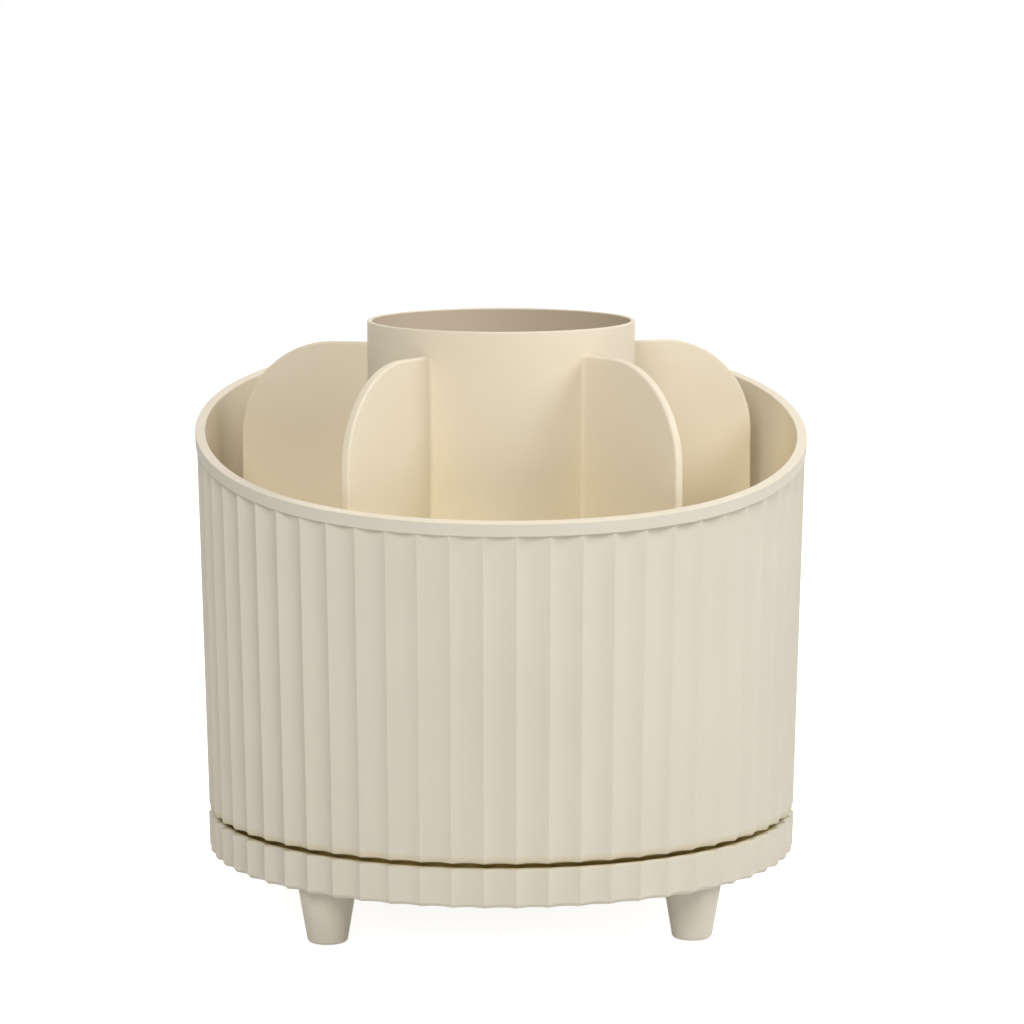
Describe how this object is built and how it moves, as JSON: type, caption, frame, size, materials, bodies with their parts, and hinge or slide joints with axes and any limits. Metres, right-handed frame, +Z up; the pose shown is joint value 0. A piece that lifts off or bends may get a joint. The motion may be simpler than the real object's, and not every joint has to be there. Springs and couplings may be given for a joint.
{
  "type": "rotating makeup brush holder",
  "caption": "Rotating makeup brush holder: a fluted drum with a slanted rim turns on a footed base and holds a lift-out brush cup with radial dividers.",
  "frame": {"origin": "on the turning axis, on the surface that the pads stand on", "axes": "+Z up along the turning axis; the front, where the rim is lowest, faces -Y; +X is to the right seen from the front"},
  "size_m": [0.1806, 0.1806, 0.1746],
  "materials": {
    "cream_plastic": "satin moulded plastic, warm cream",
    "insert_plastic": "satin moulded plastic, slightly lighter cream",
    "bearing_plastic": "natural white slippery plastic",
    "steel": "bright plated steel",
    "rubber": "matt soft rubber"
  },
  "bodies": {
    "base": {"base_tray": "cream_plastic", "foot_1": "cream_plastic", "foot_2": "cream_plastic", "foot_3": "cream_plastic", "foot_4": "cream_plastic", "foot_pad_1": "rubber", "foot_pad_2": "rubber", "foot_pad_3": "rubber", "foot_pad_4": "rubber", "foot_screw_1": "steel", "foot_screw_2": "steel", "foot_screw_3": "steel", "foot_screw_4": "steel", "pivot_washer": "steel", "pivot_screw": "steel"},
    "turning_drum": {"drum": "cream_plastic", "pivot_bush": "bearing_plastic"},
    "bearing": {"ball_cage": "bearing_plastic", "ball_01": "steel", "ball_02": "steel", "ball_03": "steel", "ball_04": "steel", "ball_05": "steel", "ball_06": "steel", "ball_07": "steel", "ball_08": "steel", "ball_09": "steel", "ball_10": "steel", "ball_11": "steel", "ball_12": "steel"},
    "insert": {"divider_insert": "insert_plastic"}
  },
  "joints": [
    {"name": "drum_turn", "type": "hinge", "parent": "base", "child": "turning_drum", "pos_m": [0, 0, 0.03], "axis": [0, 0, 1], "continuous": true},
    {"name": "bearing_turn", "type": "hinge", "parent": "base", "child": "bearing", "pos_m": [0, 0, 0.0243], "axis": [0, 0, 1], "continuous": true},
    {"name": "insert_lift", "type": "slide", "parent": "turning_drum", "child": "insert", "axis": [0, 0, 1], "range_m": [0, 0.13]}
  ],
  "couplings": [
    {"joint": "bearing_turn", "follows": "drum_turn", "ratio": 0.5}
  ]
}
